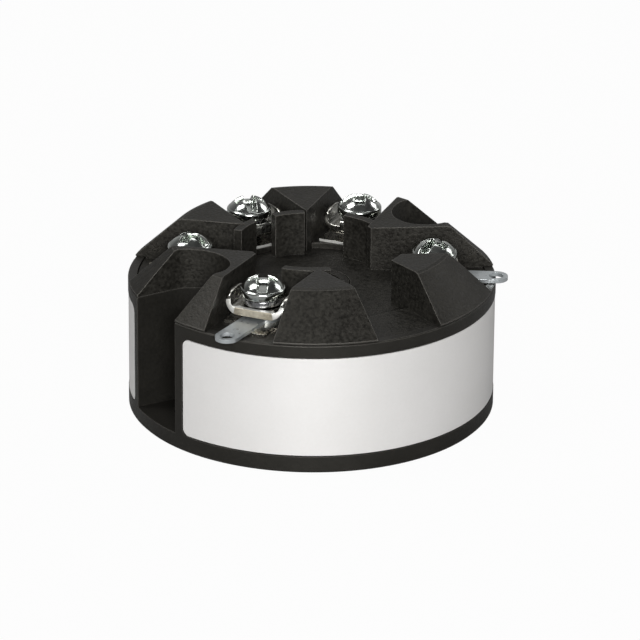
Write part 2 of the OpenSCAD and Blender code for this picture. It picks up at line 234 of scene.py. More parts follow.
# %% Hang the lamps
def soft_lamp(name, turn, height, reach, size, power):
    """A flat lamp aimed at the part, from a turn about Z and a height, both in degrees.

    reach and size are in metres and power is in watts.
    """
    data = bpy.data.lights.new(name, "AREA")
    data.shape = "RECTANGLE"
    data.size, data.size_y = size
    data.energy = power
    lamp = bpy.data.objects.new(name, data)
    a, b = math.radians(turn), math.radians(height)
    place = Vector((math.cos(a) * math.cos(b), math.sin(a) * math.cos(b), math.sin(b)))
    lamp.location = middle + place * reach
    lamp.rotation_euler = (-place).to_track_quat("-Z", "Y").to_euler()
    scene.collection.objects.link(lamp)


soft_lamp("key_lamp", turn=239, height=22, reach=0.9, size=(0.4, 0.3), power=9.2)
soft_lamp("top_lamp", turn=60, height=60, reach=0.8, size=(0.5, 0.25), power=1.0)
soft_lamp("left_lamp", turn=142, height=56, reach=0.9, size=(0.25, 0.4), power=2.9)
soft_lamp("right_lamp", turn=358, height=32, reach=0.9, size=(0.3, 0.3), power=0.9)

# %% [markdown]
# ## Patterns for the finishes
#
# No moulded or stamped surface has one even colour and gloss. Photographs of real surfaces
# could be laid on the part, but they need seams and fit one size alone. Noise is a formula
# of the place instead. It reads Object coordinates, so it has no seam and stays fixed on
# the part at every pose.

# %% Define noise and colours
NOISE_RANGE, COLOUR_RANGE, NOISE_ROUGHNESS = (0.3, 0.7), (0.35, 0.65), 0.55


def noise_at(tree, place, scale, detail=3.0, stretch=None):
    """Noise with that many waves per metre, stretched along an axis where wanted."""
    noise = add_node(tree, "ShaderNodeTexNoise", Scale=scale, Detail=detail,
                     Roughness=NOISE_ROUGHNESS)
    source = place.outputs["Object"]
    if stretch is not None:
        mapping = add_node(tree, "ShaderNodeMapping", Scale=stretch)
        link(tree, source, mapping.inputs["Vector"])
        source = mapping.outputs["Vector"]
    link(tree, source, noise.inputs["Vector"])
    return noise.outputs["Fac"]


def colour_ramp(tree, value, low, high):
    """Goes from one colour to the other while a noise value runs through the colour range."""
    made = tree.nodes.new("ShaderNodeValToRGB")
    for number, colour in enumerate((low, high)):
        made.color_ramp.elements[number].position = COLOUR_RANGE[number]
        made.color_ramp.elements[number].color = (*colour, 1)
    link(tree, value, made.inputs["Fac"])
    return made.outputs["Color"]


def mix_colours(tree, mask, low, high):
    """Low where the mask is 0 and high where it is 1, each of them a socket or three numbers."""
    made = tree.nodes.new("ShaderNodeMix")
    made.data_type = "RGBA"
    link(tree, mask, made.inputs["Factor"])
    for socket, colour in ((made.inputs["A"], low), (made.inputs["B"], high)):
        if isinstance(colour, tuple):
            socket.default_value = (*colour, 1)
        else:
            link(tree, colour, socket)
    return made.outputs["Result"]


print("noise stays near", NOISE_RANGE)

# %% [markdown]
# ## Painted highlight on edges and painted shade in hollows
#
# Light catches the outer edges of a part, and its hollows lie in shade. Here both are painted
# into the colour: a paler colour on the edges as a highlight, and a darker one in the hollows
# as shade. Both could be painted by hand. Two nodes find them without painting an image: a
# bevel node turns the normal near an edge, and an ambient occlusion node says how much of its
# surroundings a place sees. An edge is where the turned normal leaves the true one while the
# place lies open.

# %% Define the masks for edges and hollows
NODE_SAMPLES = 4
EDGE_COSINES, EDGE_AIR_SHARES, EDGE_REACH_SHARE = (0.999, 0.93), (0.8, 0.95), 3
HOLLOW_SHADE_REACH, HOLLOW_SHADE_AIR_SHARES = 0.9, (0.3, 0.8)


def open_air(tree, reach, closed, free):
    """0 in a hollow and 1 in the open, by the share of directions that are free for reach mm."""
    hollow = add_node(tree, "ShaderNodeAmbientOcclusion", Distance=reach * MM)
    hollow.samples = NODE_SAMPLES
    return map_range(tree, hollow.outputs["AO"], closed, free, 0, 1)


def edge_mask(tree, bevel, reach):
    """1 on outward edges and 0 elsewhere: the rounded normal leaves the true one, in the open."""
    true = tree.nodes.new("ShaderNodeNewGeometry")
    cosine = tree.nodes.new("ShaderNodeVectorMath")
    cosine.operation = "DOT_PRODUCT"
    link(tree, bevel.outputs["Normal"], cosine.inputs[0])
    link(tree, true.outputs["Normal"], cosine.inputs[1])
    rounded = map_range(tree, cosine.outputs["Value"], *EDGE_COSINES, 0, 1)
    return product(tree, rounded, open_air(tree, reach, *EDGE_AIR_SHARES))


def tilted_normal(tree, height, depth, normal):
    """The normal, tilted by a pattern whose full height stands for that depth in mm."""
    bump = add_node(tree, "ShaderNodeBump", Strength=1.0, Distance=depth * MM)
    link(tree, height, bump.inputs["Height"])
    link(tree, normal, bump.inputs["Normal"])
    return bump.outputs["Normal"]


print("hollows are read up to", HOLLOW_SHADE_REACH, "mm wide")

# %% [markdown]
# ## How a finish is made
#
# Every finish has the same layers. Patches of slowly changing noise mix two close colours,
# a finer noise moves the roughness, and the same noise raises a shallow grain. A bevel node
# rounds the shading at the edges, where a moulded or stamped part is never sharp. Each
# finish could be its own tree of nodes, but one function with named values shows at once
# how two finishes differ.

# %% Define the layered finish
def layered(name, colours, patch, rough, grain, depth, metal=0.0, edge=0.1, stretch=None,
            shine=0.5, coat=0.0, speckle=0.3, edge_highlight=None, tint=(1, 1, 1), dent=None,
            hollow_shade=None):
    """A finish of colour patches, uneven roughness, a fine grain and softened edges.

    colours are two close colours, patch and grain are waves per millimetre, rough is a low
    and a high roughness, depth is the height of the grain and edge the rounding, in mm.
    speckle is the grain's share in the colour, and edge_highlight the paler colour painted on the
    outer edges as a highlight.
    dent, where given, is the waves per millimetre and the depth in mm of a coarser unevenness,
    and hollow_shade the darker colour painted as shade in hollows less than about a millimetre
    wide.
    """
    material = bpy.data.materials.new(name)
    material.use_nodes = True
    tree = material.node_tree
    shader = tree.nodes["Principled BSDF"]
    shader.inputs["Metallic"].default_value = metal
    shader.inputs["Specular IOR Level"].default_value = shine
    shader.inputs["Specular Tint"].default_value = (*tint, 1)
    shader.inputs["Coat Weight"].default_value = coat
    place = tree.nodes.new("ShaderNodeTexCoord")
    patches = noise_at(tree, place, patch / MM)
    fine = noise_at(tree, place, grain / MM, detail=2.0, stretch=stretch)
    mixed = add_node(tree, "ShaderNodeMix", Factor=speckle)
    link(tree, patches, mixed.inputs["A"])
    link(tree, fine, mixed.inputs["B"])
    colour = colour_ramp(tree, mixed.outputs["Result"], *colours)
    bevel = add_node(tree, "ShaderNodeBevel", Radius=edge * MM)
    bevel.samples = NODE_SAMPLES
    # Painted highlight: a paler colour on the outward edges, where the light catches them.
    if edge_highlight is not None:
        colour = mix_colours(tree, edge_mask(tree, bevel, EDGE_REACH_SHARE * edge), colour, edge_highlight)
    # Painted shade: a darker colour where hollows close in and shade falls.
    if hollow_shade is not None:
        colour = mix_colours(tree, open_air(tree, HOLLOW_SHADE_REACH, *HOLLOW_SHADE_AIR_SHARES), hollow_shade, colour)
    link(tree, colour, shader.inputs["Base Color"])
    link(tree, map_range(tree, fine, *NOISE_RANGE, *rough), shader.inputs["Roughness"])
    normal = tilted_normal(tree, fine, depth, bevel.outputs["Normal"])
    if dent is not None:
        waves, dent_depth = dent
        coarse = noise_at(tree, place, waves / MM, detail=1.0)
        normal = tilted_normal(tree, coarse, dent_depth, normal)
    link(tree, normal, shader.inputs["Normal"])
    return material


def dress(material, *names):
    """Puts a finish into the material slots of the named solids."""
    for name in names:
        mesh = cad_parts[name].data
        mesh.materials.clear()
        mesh.materials.append(material)


print("the layered finish is ready")

# %% [markdown]
# ## The moulded housing
#
# Cup and terminal block are charcoal black plastic with the fine grain of a spark-eroded
# mould. The grain could be real relief, but at a few hundredths of a millimetre a bump of
# noise looks the same. The cup has four waves per millimetre and is a shade smoother. The
# block's grain is coarser and mottled, because its slopes catch the light.

# %% Dress the housing
# Both plastics get a paler colour on their outer edges: a painted highlight.
cup_plastic = layered("cup_plastic", ((0.0075, 0.0071, 0.006), (0.0115, 0.0108, 0.0092)),
                      patch=0.35, rough=(0.4, 0.56), grain=4.0, depth=0.012, edge=0.15,
                      shine=0.36, edge_highlight=(0.05, 0.047, 0.042), tint=(1, 0.96, 0.88))
block_plastic = layered("block_plastic", ((0.0048, 0.0045, 0.0037), (0.0185, 0.0175, 0.0148)),
                        patch=0.4, rough=(0.4, 0.6), grain=2.6, depth=0.07, edge=0.15,
                        shine=0.3, speckle=0.75, edge_highlight=(0.1, 0.095, 0.086),
                        tint=(1, 0.96, 0.88))
dress(cup_plastic, "housing_cup")
dress(block_plastic, "terminal_block")
print("housing finishes:", cup_plastic.name, block_plastic.name)

# %% [markdown]
# ## The label strips
#
# The labels are a satin film with a metal layer: they are pale like paper, but their
# brightness falls off towards the ends like metal does. Plain white paint would stay as
# bright at the ends, and plain metal would be too dark in the middle. A surface that is
# part metallic and part diffuse gives both.

# %% Dress the labels
label_film = layered("label_film", ((0.78, 0.768, 0.752), (0.82, 0.808, 0.795)),
                     patch=0.08, rough=(0.44, 0.5), grain=2.5, depth=0.0012, metal=0.42,
                     edge=0.05)
dress(label_film, "front_label", "rear_label")
print("label finish:", label_film.name)

# %% [markdown]
# ## Plates and clamps
#
# Plates and clamps are nickel-plated sheet. Metal shows its surroundings, so it needs
# little colour: what matters is how sharp its reflections are, and how even. Stamped sheet
# is never flat, so shallow dents bend what the clamps mirror. Real dents would need a very
# fine mesh, and a second, coarser bump costs nothing.

# %% Dress the plates and the clamps
NUMBERS = range(1, 6)
plate_metal = layered("plate_metal", ((0.52, 0.5, 0.44), (0.66, 0.63, 0.57)), patch=0.6,
                      rough=(0.2, 0.34), grain=1.6, depth=0.006, metal=1.0, edge=0.08)
# The clamps get a darker colour in their hollows: painted shade.
clamp_metal = layered("clamp_metal", ((0.42, 0.41, 0.37), (0.62, 0.61, 0.57)), patch=0.5,
                      rough=(0.12, 0.26), grain=1.8, depth=0.006, metal=1.0, edge=0.1,
                      dent=(0.45, 0.06), hollow_shade=(0.12, 0.12, 0.1))
for n in NUMBERS:
    dress(plate_metal, f"terminal_plate_{n}")
    dress(clamp_metal, f"clamp_plate_{n}")
print("sheet finishes on", 2 * len(NUMBERS), "solids")

# %% [markdown]
# ## Screws, washers and lugs
#
# The screws are bright and dented like the clamps, with painted shade in the recesses of their
# heads. The lock washers are plain spring steel, and darker. The lugs are tinned sheet: a
# fifth of their surface is left diffuse, which gives tin its milky look. The three could
# share one metal, but the eye tells them apart by colour and sharpness alone.

# %% Dress the screws, the washers and the lugs
washer_metal = layered("washer_metal", ((0.22, 0.22, 0.23), (0.36, 0.36, 0.37)), patch=0.9,
                       rough=(0.16, 0.32), grain=2.2, depth=0.005, metal=1.0, edge=0.08)
# The screws get a darker colour in the recesses of their heads: painted shade.
screw_metal = layered("screw_metal", ((0.5, 0.53, 0.5), (0.72, 0.74, 0.71)), patch=0.5,
                      rough=(0.1, 0.22), grain=1.5, depth=0.005, metal=1.0, edge=0.1,
                      dent=(0.55, 0.05), hollow_shade=(0.1, 0.11, 0.1))
lug_metal = layered("lug_metal", ((0.5, 0.535, 0.55), (0.6, 0.63, 0.64)), patch=0.4,
                    rough=(0.26, 0.4), grain=1.4, depth=0.004, metal=0.8, edge=0.06)
for n in NUMBERS:
    dress(washer_metal, f"lock_washer_{n}")
    dress(screw_metal, f"terminal_screw_{n}")
dress(lug_metal, "test_lug_1", "test_lug_2")
print("metal finishes on", 2 * len(NUMBERS) + 2, "solids")

# %% [markdown]
# ## Painted highlight on the ends of the plates
#
# The ends of the plates that look at the central opening are matt and bright. They get a
# rougher finish, and a paler colour that is a painted highlight. Separate pieces for the ends
# would need new edges. A second material on the same solid shows them without any change to
# its shape: the faces that look at the centre get it, and the others keep the first.

# %% Brighten the inner ends of the plates
TERMINAL_TURNS = [215, 325, 145, 90, 35]
INWARD_COSINE = 0.7
# A rougher, matt finish with a paler colour that is a painted highlight.
highlight_metal = layered("highlight_metal", ((0.66, 0.66, 0.62), (0.86, 0.86, 0.82)), patch=0.8,
                    rough=(0.3, 0.45), grain=2.4, depth=0.01, metal=0.6, edge=0.15)


def brighten_ends(number):
    """Paints a highlight, a paler finish, on faces whose normal lies near the direction to the
    centre.
    """
    turn = math.radians(TERMINAL_TURNS[number - 1])
    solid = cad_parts[f"terminal_plate_{number}"]
    solid.data.materials.append(highlight_metal)
    inward = solid.matrix_world.to_3x3().inverted() @ Vector((-math.cos(turn), -math.sin(turn), 0))
    faces = solid.data.polygons
    normals = np.empty(len(faces) * 3)
    faces.foreach_get("normal", normals)
    highlit = normals.reshape(-1, 3) @ np.array(inward) > INWARD_COSINE
    faces.foreach_set("material_index", highlit.astype(np.int32))
    return int(highlit.sum())


highlit_counts = [brighten_ends(n) for n in NUMBERS]
print("rubbed triangles on the plates:", highlit_counts)

# %% [markdown]
# ## Meshes from grids of points
#
# A turned or rolled part is a surface of two parameters: one runs along its outline, the
# other round it. It could be modelled by hand from a cylinder. Worked out with numpy as one
# array of rows and columns, it becomes a mesh in a single step and keeps its formula. Each
# row closes on itself. The first and last rows are closed by a fan to their middle, or
# joined to each other where the rows run round in a loop, so the skin has no hole.

# %% Turn a grid of points into a closed mesh
def signed_volume(mesh):
    """The volume that a closed mesh holds: positive where its faces point outwards.

    It is a sixth of the sum of a . (b x c) over all triangles with the corners a, b and c.
    """
    mesh.calc_loop_triangles()
    place = np.empty(len(mesh.vertices) * 3)
    mesh.vertices.foreach_get("co", place)
    corners = np.empty(len(mesh.loop_triangles) * 3, dtype=np.int32)
    mesh.loop_triangles.foreach_get("vertices", corners)
    a, b, c = place.reshape(-1, 3)[corners.reshape(-1, 3)].transpose(1, 0, 2)
    return float((a * np.cross(b, c)).sum() / 6)


def closed_skin(name, points, finish, body, looped=False):
    """A closed mesh from rows of points, each row a ring, in the shape (rows, columns, 3).

    Where the rows run the other way round, the faces are turned over, so they point outwards.
    """
    rows, columns = points.shape[:2]
    corner = np.arange(rows * columns).reshape(rows, columns)
    a, b = (corner, np.roll(corner, -1, 0)) if looped else (corner[:-1], corner[1:])
    faces = np.stack([a, np.roll(a, -1, 1), np.roll(b, -1, 1), b], -1).reshape(-1, 4).tolist()
    vertices = points.reshape(-1, 3)
    if not looped:
        vertices = np.concatenate([vertices, [points[0].mean(0), points[-1].mean(0)]])
        first, last = rows * columns, rows * columns + 1
        low = np.stack([np.roll(corner[0], -1), corner[0], np.full(columns, first)], -1)
        high = np.stack([corner[-1], np.roll(corner[-1], -1), np.full(columns, last)], -1)
        faces += low.tolist() + high.tolist()
    mesh = bpy.data.meshes.new(name)
    mesh.from_pydata(vertices.tolist(), [], faces)
    mesh.polygons.foreach_set("use_smooth", np.full(len(mesh.polygons), True))
    mesh.materials.append(finish)
    mesh.validate()
    if signed_volume(mesh) < 0:
        mesh.flip_normals()
    piece = bpy.data.objects.new(name, mesh)
    scene.collection.objects.link(piece)
    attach(piece, body)
    return piece


print("grids become skins")

# %% [markdown]
# ## The five pockets
#
# The terminals are alike, so each piece is drawn once in millimetres about the axis of its
# screw, with x pointing out of the pocket. To place it, its points are turned about Z and
# moved to the screw. Five moved objects would do the same, but then their patterns and
# their places would be kept in two ways. The photograph shows each clamp open by its own
# amount, and the pieces that ride on it are raised by that lift.

# %% Place points in a pocket
CLAMP_LIFTS = [0.4, 0.05, 0, 0.35, 0.3]
SCREW_REACH = 14.6 * MM


def screw_place(number):
    """Where a terminal's screw axis stands, raised by as much as its clamp stands open."""
    turn = math.radians(TERMINAL_TURNS[number - 1])
    return np.array([math.cos(turn) * SCREW_REACH, math.sin(turn) * SCREW_REACH,
                     CLAMP_LIFTS[number - 1] * MM])


def turned(x, y, angle):
    """x and y after a turn about the origin: x cos - y sin and x sin + y cos of the angle."""
    c, s = math.cos(angle), math.sin(angle)
    return x * c - y * s, x * s + y * c


def set_in_pocket(points, number):
    """Moves points in millimetres from the screw's own frame to its pocket."""
    x, y, z = np.moveaxis(points, -1, 0)
    x, y = turned(x, y, math.radians(TERMINAL_TURNS[number - 1]))
    return np.stack([x, y, z], -1) * MM + screw_place(number)


print("screws at, in mm:", [(screw_place(n) / MM).round(2).tolist() for n in NUMBERS])

# %% [markdown]
# ## Rounded steps and sections
#
# Two small formulas round everything that follows. A smooth step leads from one level to
# another without a kink, for pressed walls. A superellipse is a circle whose cosine and
# sine are raised to a power below one: the lower the power, the squarer it gets. Bevel
# modifiers could round the pieces afterwards, but they need sharp edges to start from.

# %% Define the rounded forms
def ring_turns(columns):
    """Equal turns round a full circle, without the last one, which would repeat the first."""
    return np.linspace(0, 2 * math.pi, columns, endpoint=False)


def smooth_step(value):
    """0 below 0, 1 above 1, and a smooth rise of 3 v squared minus 2 v cubed between."""
    v = np.clip(value, 0, 1)
    return v * v * (3 - 2 * v)


def squared_off(wave, power):
    """The size of a cosine or sine raised to that power, with the sign that it had."""
    return np.sign(wave) * np.abs(wave) ** power


print("half a step is", float(smooth_step(0.5)))

# %% [markdown]
# ## Screw heads
#
# The heads are the brightest spots of the picture: a pan head with a dome, a straight slot
# across it and a cross in the middle. On the real screw all of these are pressed in one
# blow, so their edges flow into the dome. Cutting boxes out of a dome would leave sharp
# edges. So the head is a turned profile whose height is lowered to the floor of the recess
# by a mask that falls smoothly at the recess's walls.

# %% Draw the profile of the screw head
HEAD_Z, HEAD_HEIGHT, HEAD_RADIUS, DOME_SHARE = 18.65, 2.3, 2.7, 0.56
DOME_RADIUS = DOME_SHARE * 2 * HEAD_RADIUS
DOME_EDGE, SHOULDER_DROP, HEEL_RADIUS = 2.5, 0.3, 0.18
UNDER_OUTER, UNDER_INNER, DOME_FIRST_TURN = 2.3, 0.1, 0.004
DOME_POINTS, CORNER_POINTS, UNDER_POINTS = 58, 8, 5


def head_outline():
    """Radius and height of the head, from the middle of its top to its underside.

    The dome is an arc, the rim a quarter of a rounded square, and the underside a disc.
    """
    arc = np.linspace(DOME_FIRST_TURN, math.asin(DOME_EDGE / DOME_RADIUS), DOME_POINTS)
    dome = np.stack([DOME_RADIUS * np.sin(arc),
                     HEAD_HEIGHT - DOME_RADIUS + DOME_RADIUS * np.cos(arc)], -1)
    turn = np.linspace(0, math.pi / 2, CORNER_POINTS)[1:]
    shoulder = np.stack([DOME_EDGE + (HEAD_RADIUS - DOME_EDGE) * np.sin(turn),
                         dome[-1, 1] - SHOULDER_DROP + SHOULDER_DROP * np.cos(turn)], -1)
    heel = np.stack([HEAD_RADIUS - HEEL_RADIUS + HEEL_RADIUS * np.cos(turn),
                     HEEL_RADIUS - HEEL_RADIUS * np.sin(turn)], -1)
    under = np.stack([np.linspace(UNDER_OUTER, UNDER_INNER, UNDER_POINTS),
                      np.zeros(UNDER_POINTS)], -1)
    return np.concatenate([dome, shoulder, heel, under])


print("points on the outline:", len(head_outline()))

# %% [markdown]
# ## The recess in the heads
#
# The slot is a band across the head, and the cross is two shorter bands over it, a little
# deeper. A boolean cut would give the same forms with sharp walls, which pressed metal
# doesn't have. Each band is a mask instead: 1 inside and 0 outside, with a smooth fall at
# its walls. The photograph shows every screw stopped at its own turn.

# %% Press the screw heads
SLOT_TURNS = [236, 18, 300, 250, 330]
SLOT_HALF, SLOT_DEPTH, CROSS_HALF, CROSS_DEPTH, WALL_RUN = 0.55, 1.2, 1.7, 1.6, 0.14


def band(across, half_width):
    """1 within that half width and 0 outside it, with a smooth step over the wall's run."""
    return smooth_step((half_width - np.abs(across)) / WALL_RUN + 0.5)


def pressed_head(number, columns=192):
    """Rings of the head's outline, lowered to the recess floors inside the slot and the cross."""
    outline = head_outline()
    turn = ring_turns(columns)
    x = outline[:, :1] * np.cos(turn)
    y = outline[:, :1] * np.sin(turn)
    z = np.repeat(outline[:, 1:], columns, 1)
    slot = band(y, SLOT_HALF)
    cross = np.maximum(slot * band(x, CROSS_HALF), band(x, SLOT_HALF) * band(y, CROSS_HALF))
    for mask, depth in ((slot, SLOT_DEPTH), (cross, CROSS_DEPTH)):
        z = z - mask * np.maximum(0, z - (HEAD_HEIGHT - depth))
    x, y = turned(x, y, math.radians(SLOT_TURNS[number - 1]))
    rings = np.stack([x, y, z + HEAD_Z], -1) * MM
    return rings[::-1] + screw_place(number)


for n in NUMBERS:
    head = closed_skin(f"screw_head_{n}", pressed_head(n), screw_metal, f"screw_{n}")
    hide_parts(f"terminal_screw_{n}")
print("screw heads, mm3 each:", round(signed_volume(head.data) / MM**3, 2))

# %% [markdown]
# ## Threads
#
# Below the head the screw carries its thread, which shows when the clamp is raised. A
# profile carried along a helix would need its ends trimmed. Here the thread is a cylinder
# whose radius swings with the height and with the turn, so that its crests climb by one
# pitch in each turn and fade out below the head.

# %% Roll the threads
SHANK_LOW, SHANK_RADIUS, THREAD_PITCH, THREAD_DEPTH = 10.45, 1.5, 0.5, 0.27
WAVE_GAIN, WAVE_DROP = 1.25, 0.1
HEAD_OVERLAP, PLAIN_NECK, NECK_RUN, TIP_RUN, TIP_SHARE = 0.1, 0.7, 0.4, 0.5, 0.8


def threaded_shank(number, rows=172, columns=48):
    """Rings whose radius falls from the crest by a rounded triangle wave of height and turn."""
    z = np.linspace(SHANK_LOW, HEAD_Z + HEAD_OVERLAP, rows)[:, None]
    turn = ring_turns(columns)[None, :]
    phase = z / THREAD_PITCH - turn / (2 * math.pi)
    triangle = np.abs((phase % 1) - 0.5) * 2
    wave = smooth_step(triangle * WAVE_GAIN - WAVE_DROP)
    fade = smooth_step((HEAD_Z - PLAIN_NECK - z) / NECK_RUN)
    tip = smooth_step((z - SHANK_LOW) / TIP_RUN)
    radius = (SHANK_RADIUS - THREAD_DEPTH * wave * fade) * (TIP_SHARE + (1 - TIP_SHARE) * tip)
    rings = np.stack([radius * np.cos(turn), radius * np.sin(turn),
                      np.repeat(z, columns, 1)], -1) * MM
    return rings + screw_place(number)


for n in NUMBERS:
    shank = closed_skin(f"screw_thread_{n}", threaded_shank(n), screw_metal, f"screw_{n}")
    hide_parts(f"terminal_screw_{n}")
print("threads, mm3 each:", round(signed_volume(shank.data) / MM**3, 2))

# %% [markdown]
# ## Lock washers
#
# A split lock washer is a rod with a rounded square section, wound into nearly one turn of a
# helix: its two ends stand one above the other. A ring with a cut in it would lie flat. So
# the section is carried round the turn while it climbs, and each end is closed flat.

# %% Wind the lock washers
WASHER_Z, WASHER_RADIUS, WASHER_RISE = 18.1, 1.94, 0.14
WASHER_HALF_WIDTH, WASHER_HALF_HEIGHT, WASHER_POWER = 0.35, 0.42, 0.45
SPLIT_WIDTH, SPLIT_SLACK = 0.6, 0.06


def wound_washer(number, steps=72, columns=28):
    """A superellipse section carried along a helix from one side of the split to the other."""
    split = SPLIT_WIDTH / (2 * WASHER_RADIUS) / 2 + SPLIT_SLACK
    along = np.linspace(split, 2 * math.pi - split, steps)[:, None]
    turn = ring_turns(columns)[None, :]
    radius = WASHER_RADIUS + WASHER_HALF_WIDTH * squared_off(np.cos(turn), WASHER_POWER)
    height = WASHER_HALF_HEIGHT * squared_off(np.sin(turn), WASHER_POWER)
    climb = WASHER_RISE * (along / (2 * math.pi) - 0.5)
    round_screw = along + math.radians(SLOT_TURNS[number - 1] + TERMINAL_TURNS[number - 1])
    rings = np.stack([radius * np.cos(round_screw), radius * np.sin(round_screw),
                      WASHER_Z + height + climb], -1) * MM
    return rings + screw_place(number)


for n in NUMBERS:
    washer = closed_skin(f"split_washer_{n}", wound_washer(n), washer_metal, f"clamp_{n}")
    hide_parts(f"lock_washer_{n}")
print("washers, mm3 each:", round(signed_volume(washer.data) / MM**3, 2))

# %% [markdown]
# ## Folding sheet
#
# Each clamp is stamped from sheet with rounded ends, and the ends are folded up into ears
# that guide the wire. An upright ear could be joined to a flat plate, but the real one has
# a bend that catches the light. So the blank is drawn flat, with s as the way across it.
# Folding sends s round a bend on each side, and the sheet gets its thickness at right
# angles to itself, a little less in the ears.

# %% Define the fold
CLAMP_MIDDLE_Z, FLAT_HALF, BEND_RADIUS, BEND_TURN = 17.15, 2.2, 1.25, math.radians(80)
SHEET_HALF, EAR_THINNING, THINNING_RUN = 0.45, 0.15, 1.2


def bent_sheet(x, s, side):
    """Points of the folded sheet. side is -1 on its underside, 1 on its upper side, 0 inside.

    Across the blank, s is flat up to the bend, then an arc of one radius, then straight.
    """
    past = np.maximum(np.abs(s) - FLAT_HALF, 0)
    turn = np.minimum(past / BEND_RADIUS, BEND_TURN)
    rest = np.maximum(past - BEND_RADIUS * BEND_TURN, 0)
    y = np.minimum(np.abs(s), FLAT_HALF) + BEND_RADIUS * np.sin(turn) + rest * np.cos(turn)
    z = BEND_RADIUS * (1 - np.cos(turn)) + rest * np.sin(turn)
    half_sheet = (SHEET_HALF - EAR_THINNING * smooth_step(past / THINNING_RUN)) * side
    return np.stack([x + 0 * s, np.sign(s) * (y - half_sheet * np.sin(turn)),
                     CLAMP_MIDDLE_Z + z + half_sheet * np.cos(turn)], -1)


print("the sheet turns up by, in degrees:", round(math.degrees(BEND_TURN)))

# %% [markdown]
# ## Clamp plates
#
# The blank is a superellipse with a hole for the screw. Its points run in loops: out from
# the hole over the top, round the rim and back below, so the whole clamp is one closed
# skin. Shearing leaves bare metal at the front of the rim, and the sheet beside and above
# it gets a paler finish as a painted highlight. These are faces in known rows and columns
# of the grid, so a material number for each face is enough, and no image has to be painted.

# %% Define the clamp's skin and its worn faces
BLANK_X, BLANK_S, BLANK_POWER, HOLE_RADIUS = 2.88, 4.86, 3.2, 1.6
OVER_SHARES = np.concatenate([[0, 0.02], np.linspace(0.06, 0.94, 16), [0.975, 0.992, 1.0]])
SIDE_SHARES = np.concatenate([[0.82, 0.97], np.ones(16), [0.96, 0.8, 0.5]])
CLAMP_COLUMNS = 112
TOP_ROWS, RIM_ROWS = range(10, 17), range(17, 23)
SHEARED_ASIDE, HIGHLIT_ASIDE, HIGHLIT_TOP_ASIDE = 6, 15, 9
sheared_edge = layered("sheared_edge", ((0.36, 0.325, 0.25), (0.64, 0.59, 0.48)), patch=0.9,
                       rough=(0.3, 0.5), grain=3.0, depth=0.02, metal=0.7, edge=0.12,
                       dent=(1.1, 0.06))


def folded_clamp(number):
    """Loops round the blank, from the hole out over the top, round the rim and back below.

    A point lies at a share of the way from the hole to the rim, and at a share of the
    sheet's thickness above or below its middle.
    """
    turn = ring_turns(CLAMP_COLUMNS)
    rim_x = BLANK_X * squared_off(np.cos(turn), 2 / BLANK_POWER)
    rim_s = BLANK_S * squared_off(np.sin(turn), 2 / BLANK_POWER)
    hole = np.arctan2(rim_s * BLANK_X / BLANK_S, rim_x)
    hole_x, hole_s = HOLE_RADIUS * np.cos(hole), HOLE_RADIUS * np.sin(hole)
    over = np.concatenate([OVER_SHARES, OVER_SHARES[::-1]])[:, None]
    sides = np.concatenate([SIDE_SHARES, -SIDE_SHARES[::-1]])[:, None]
    x = hole_x + (rim_x - hole_x) * over
    s = hole_s + (rim_s - hole_s) * over
    return set_in_pocket(bent_sheet(x, s, sides), number)


def sheared_and_highlit_faces():
    """0 for the plain finish, 1 at the front of the rim, and 2, a painted highlight, beside and
    above it.
    """
    faces = np.arange(2 * len(OVER_SHARES) * CLAMP_COLUMNS)
    row, column = np.divmod(faces, CLAMP_COLUMNS)
    aside = np.minimum(column, CLAMP_COLUMNS - 1 - column)
    on_rim, on_top = np.isin(row, RIM_ROWS), np.isin(row, TOP_ROWS)
    highlit = (on_rim & (aside < HIGHLIT_ASIDE)) | (on_top & (aside < HIGHLIT_TOP_ASIDE))
    return np.where(on_rim & (aside < SHEARED_ASIDE), 1, np.where(highlit, 2, 0))


print("clamp faces, plain, sheared and rubbed:", np.bincount(sheared_and_highlit_faces()).tolist())

# %% [markdown]
# ## The lips of the clamps
#
# At its inner end each clamp has a small tongue that is bent up. It could be part of the
# blank, but it is much narrower, and the grid would have to pinch there. A section of its
# own, led along a line with one bend, stays even from root to tip. Now each terminal gets
# both pieces, which ride together and take the place of one plain solid.

# %% Fold the clamps and bend their lips
LIP_ROOT_X, LIP_BEND_X, LIP_Z, LIP_BEND, LIP_TIP_Z = -2.3, -2.68, 17.1, 0.42, 18.45
LIP_ENTRY, LIP_EXIT = 0.08, 0.38
LIP_HALF_WIDTH, LIP_HALF_SHEET, LIP_POWER = 1.26, 0.27, 0.35
lip_metal = layered("lip_metal", ((0.4, 0.4, 0.37), (0.7, 0.7, 0.66)), patch=1.2,
                    rough=(0.16, 0.32), grain=2.4, depth=0.01, metal=1.0, edge=0.1,
                    dent=(0.9, 0.09))


def clamp_lip(number, bend_rows=16, columns=24):
    """A superellipse section led inwards, round a quarter bend and up, at right angles to it."""
    bend = np.linspace(0, math.pi / 2, bend_rows)
    x = np.concatenate([[LIP_ROOT_X, LIP_BEND_X + LIP_ENTRY], LIP_BEND_X - LIP_BEND * np.sin(bend),
                        [LIP_BEND_X - LIP_BEND] * 2])[:, None]
    bend_z = LIP_Z + LIP_BEND
    z = np.concatenate([[LIP_Z] * 2, bend_z - LIP_BEND * np.cos(bend),
                        [bend_z + LIP_EXIT, LIP_TIP_Z]])[:, None]
    lean = np.concatenate([[0, 0], bend, [math.pi / 2] * 2])[:, None]
    turn = ring_turns(columns)[None, :]
    across = LIP_HALF_WIDTH * squared_off(np.cos(turn), LIP_POWER)
    thick = LIP_HALF_SHEET * squared_off(np.sin(turn), LIP_POWER)
    points = np.stack([x + thick * np.sin(lean), across + 0 * lean, z + thick * np.cos(lean)], -1)
    return set_in_pocket(points, number)


